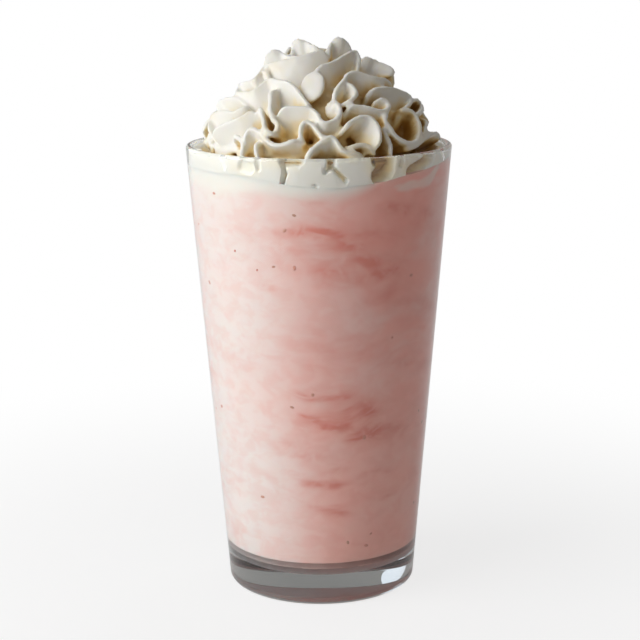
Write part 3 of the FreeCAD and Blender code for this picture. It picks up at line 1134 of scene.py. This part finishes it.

# Painted shade: the right side, away from the light, is painted a deeper pink.
painted_shade_on_right = ramp(tree, across, 0.004, 0.036)
colour = blended(tree, painted_shade_on_right, PINK, PINK_IN_PAINTED_SHADE)
clouds = ramp(tree, banded(tree, bent, 2.2, 30, (3, 1, 0)), 0.42, 0.70)
colour = spread_on(tree, colour, clouds, 0.30, MILK_AND_PAINTED_LIGHT)
wisps = ramp(tree, banded(tree, bent, 3.0, 60, (0, 5, 2), 3.0, 0.2), 0.50, 0.78)
colour = spread_on(tree, colour, wisps, 0.42, CORAL)
# Partly milk and partly painted light: the left side, where the light falls, is painted paler.
milk_and_painted_light_side = ramp(tree, across, 0.010, -0.030)
colour = spread_on(tree, colour, milk_and_painted_light_side, 0.88, MILK_AND_PAINTED_LIGHT)
# Painted light: the lower part of the drink is painted lighter, in a bright pink on the right and a pale
# milky tone on the left.
painted_light_low = ramp(tree, height, 0.110, 0.040, 0.04, 0.46)
colour = blended(tree, painted_light_low, colour, blended(tree, milk_and_painted_light_side, LOW_PAINTED_LIGHT_PINK, LOW_PAINTED_LIGHT_MILKY))
mottle = ramp(tree, banded(tree, place, 1.5, 170, (1, 2, 3), 3.0, 0.5), 0.38, 0.66)
colour = spread_on(tree, colour, mottle, 0.16, CORAL)

# %% The strokes and the foam on the milkshake
FOAM_SLOPE = 0.10  # the foam's line climbs so much from left to right, and again as much right of the middle
FOAM_HEIGHT = 0.1415

torn = ramp(tree, banded(tree, bent, 1.8, 150, (7, 1, 5), 4.0, 0.8), 0.34, 0.60, 0.45, 1.1)
fruit_share = add(tree, "Attribute", attribute_name="fruit").outputs["Fac"]
fruit_share = calculated(tree, "MULTIPLY", fruit_share, torn)
# Partly milk and partly painted light: the fruit strokes are painted paler on the left side.
strokes_paled_by_milk_and_light = ramp(tree, milk_and_painted_light_side, 0.0, 1.0, 0.85, 0.35)
colour = spread_on(tree, colour, fruit_share, strokes_paled_by_milk_and_light, CORAL)
foam_line = calculated(tree, "MULTIPLY_ADD", across, FOAM_SLOPE, FOAM_HEIGHT)
to_right = calculated(tree, "MAXIMUM", across, 0.0)
foam_line = calculated(tree, "MULTIPLY_ADD", to_right, FOAM_SLOPE, foam_line)
over = calculated(tree, "SUBTRACT", height, foam_line)
colour = blended(tree, ramp(tree, over, -0.0050, 0.0010), colour, FOAM)
froth_share = add(tree, "Attribute", attribute_name="froth").outputs["Fac"]
colour = blended(tree, ramp(tree, froth_share, 0.20, 0.80, 0.0, 0.5), colour, FOAM)
tree.links.new(colour, shader.inputs["Base Color"])
milkshake.data.materials.append(shake_finish)

# %% [markdown]
# Seeds and crumbs of strawberry sit where the drink meets the glass. There are few of them, so each is a
# small icosphere, pressed flat along the wall. Their tone wanders from reddish to brown, as fresh and dry
# seeds do.

# %% Strawberry seeds
SEEDS = 60
SEED_SIZE = (0.34 * MM, 0.58 * MM)
SEED_THICKNESS = 0.12 * MM
SEED_TONES = (0.66, 0.27, 0.21, 1), (0.56, 0.31, 0.22, 1)
FRONT_SEEDS = [  # bearing from the front in degrees, and height in mm
    (-53, 139), (-11, 134), (-15.5, 129), (-21.5, 117), (-11.5, 117), (-30, 115.5), (-42, 121), (-15, 70),
    (-4, 74.5), (24, 59), (31, 24), (28, 20), (16, 22), (38, 92), (-36, 37), (48, 112),
]
seeds = bmesh.new()
chance = random.Random(21)
spots = [(math.radians(bearing), height * MM) for bearing, height in FRONT_SEEDS]
while len(spots) < SEEDS:
    bearing = math.radians(chance.uniform(65, 295))
    spots.append((bearing, chance.uniform(FLOOR_HEIGHT + 8 * MM, CREAM_FOOT - 2 * MM)))
for bearing, height in spots:
    away = Vector((math.sin(bearing), -math.cos(bearing), 0))
    middle = away * (inner_radius(height) + INTO_WALL) + UP * height
    size = chance.uniform(*SEED_SIZE)
    across = UP.cross(away)
    turn = Matrix((across, away.cross(across), away)).transposed().to_4x4()
    turn = turn @ Matrix.Rotation(chance.uniform(0, math.pi), 4, "Z")
    shape = Matrix.Diagonal((size * chance.uniform(1.0, 1.8), size, SEED_THICKNESS, 1))
    bmesh.ops.create_icosphere(seeds, subdivisions=2, radius=1,
                               matrix=Matrix.Translation(middle) @ turn @ shape)
seeds_piece = finished(seeds, "strawberry_seeds", None)
seed_finish, tree, shader, out = surface("strawberry_seed", (0.45, 0.20, 0.13), 0.5)
tone = cloudy(tree, place_on(tree), 300.0)
colour = blended(tree, ramp(tree, tone, 0.35, 0.65), *SEED_TONES)
tree.links.new(colour, shader.inputs["Base Color"])
seeds_piece.data.materials.append(seed_finish)

# %% [markdown]
# Whipped cream is almost white where light falls on it. Deep in its folds shade is painted into the colour as
# a warm ochre, deep brown in the deepest hollows, by how hollow each spot is. The folds on the right get more
# of this painted shade than those on the left. It is satin, with a fine grain of tiny bubbles, and a little
# light goes into it.

# %% Whipped cream
CREAM_WHITE = (0.935, 0.92, 0.865, 1)
CREAM_WARM_PATCH_AND_SHADE = (0.88, 0.71, 0.36, 1)
CREAM_DEEP_PAINTED_SHADE = (0.50, 0.28, 0.07, 1)
PAINTED_SHADE_BY_SIDE = (-0.13, 0.18)  # painted shade: the folds are painted paler on the left and darker and warmer on the right
CREAM_BELOW_LIP = (0.77, 0.755, 0.70, 1)  # greyer where it is pressed on the glass, below the lip
cream_finish, tree, shader, out = surface(
    "whipped_cream", CREAM_WHITE[:3], 0.42,
    Subsurface_Weight=0.3, Subsurface_Scale=1.4 * MM, Subsurface_Radius=(1.0, 0.85, 0.55),
)
place = place_on(tree)
across, _, height = add(tree, "SeparateXYZ", {0: place}).outputs
painted_shade_share = add(tree, "Attribute", attribute_name="hollow").outputs["Fac"]
# Painted shade by side: the folds on the right count as more hollow, and those on the left as less.
painted_shade_share = calculated(tree, "ADD", painted_shade_share, ramp(tree, across, -0.036, 0.036, *PAINTED_SHADE_BY_SIDE))
under_lip = ramp(tree, height, LIP_HEIGHT + 1 * MM, LIP_HEIGHT - 2 * MM)
colour = blended(tree, under_lip, CREAM_WHITE, CREAM_BELOW_LIP)
patches = cloudy(tree, place, 75.0)
colour = blended(tree, ramp(tree, patches, 0.47, 0.74, 0.0, 0.34), colour, CREAM_WARM_PATCH_AND_SHADE)
# Painted shade: the hollows are painted warm ochre, and the deepest ones deep brown.
colour = blended(tree, ramp(tree, painted_shade_share, 0.33, 0.76), colour, CREAM_WARM_PATCH_AND_SHADE)
colour = blended(tree, ramp(tree, painted_shade_share, 0.60, 0.95), colour, CREAM_DEEP_PAINTED_SHADE)
tree.links.new(colour, shader.inputs["Base Color"])
bump = add(tree, "Bump", {"Height": cloudy(tree, place, 900.0), "Strength": 0.12, "Distance": 0.1 * MM})
tree.links.new(bump.outputs[0], shader.inputs["Normal"])
whipped.data.materials.append(cream_finish)
